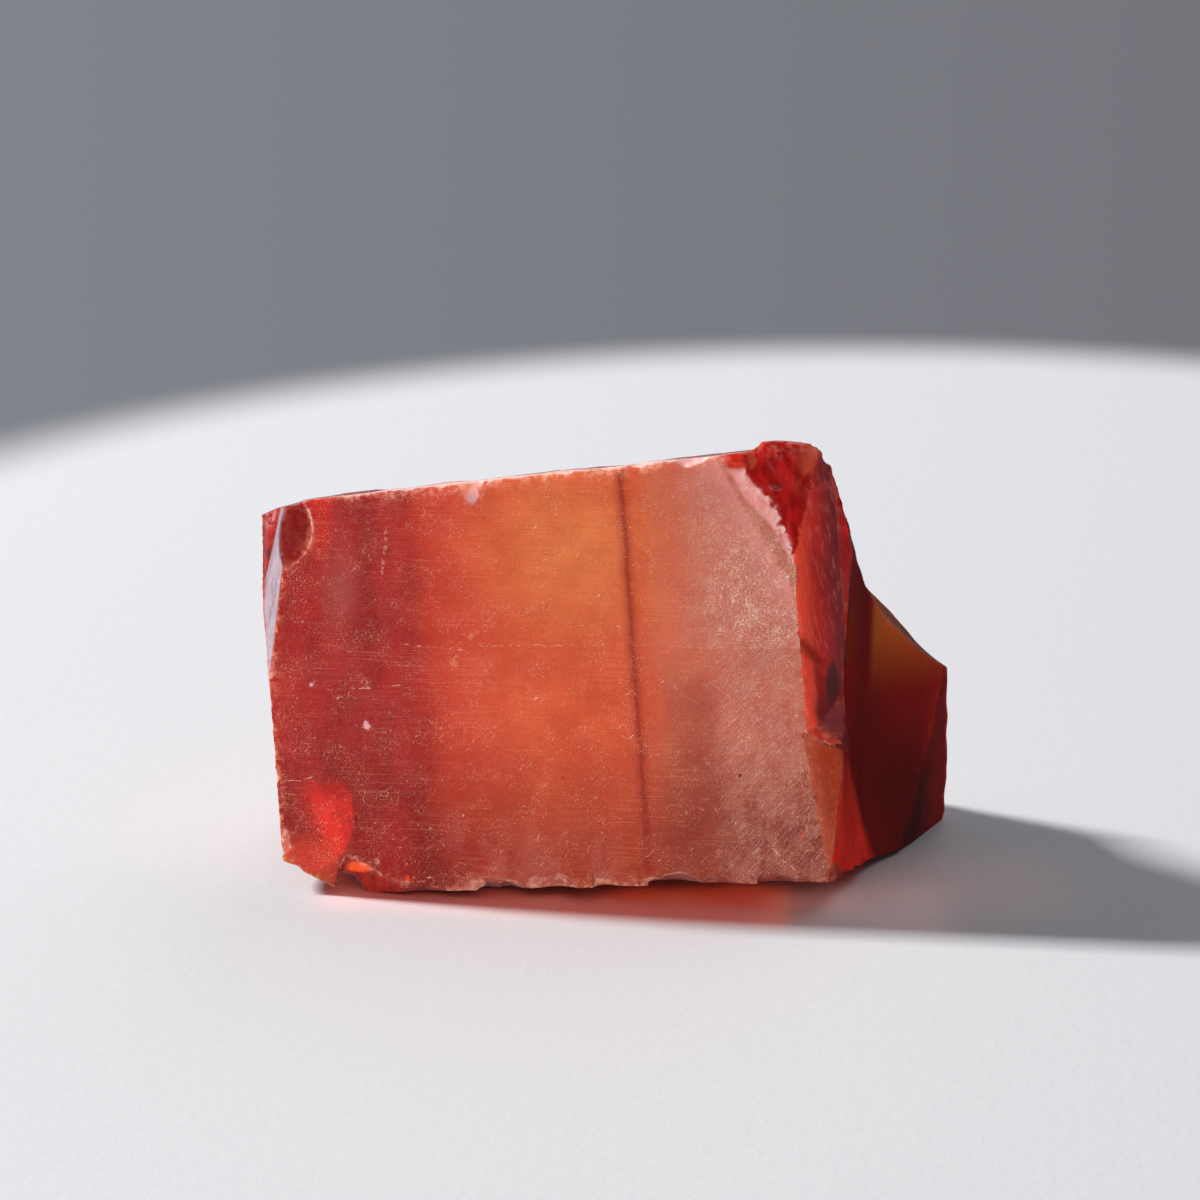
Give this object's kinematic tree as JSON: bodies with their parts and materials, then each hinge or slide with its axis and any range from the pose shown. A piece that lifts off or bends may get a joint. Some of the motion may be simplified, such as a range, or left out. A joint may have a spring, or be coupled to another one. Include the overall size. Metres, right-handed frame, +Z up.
{
  "type": "raw carnelian specimen",
  "caption": "Raw chunk of banded carnelian: a flat sawn front with upright red and orange bands, glossy shell-like fractures on the other sides, and a flat underside to rest on.",
  "frame": {"origin": "middle of the stone's bounding box in plan, on the surface that it rests on", "axes": "+X to the right along the sawn front face, +Y from the sawn front towards the back, +Z up"},
  "size_m": [0.055, 0.0248, 0.0336],
  "materials": {
    "carnelian": "translucent waxy chalcedony, matt where sawn and glossy where broken"
  },
  "bodies": {
    "root": {"carnelian": "carnelian"}
  },
  "joints": []
}
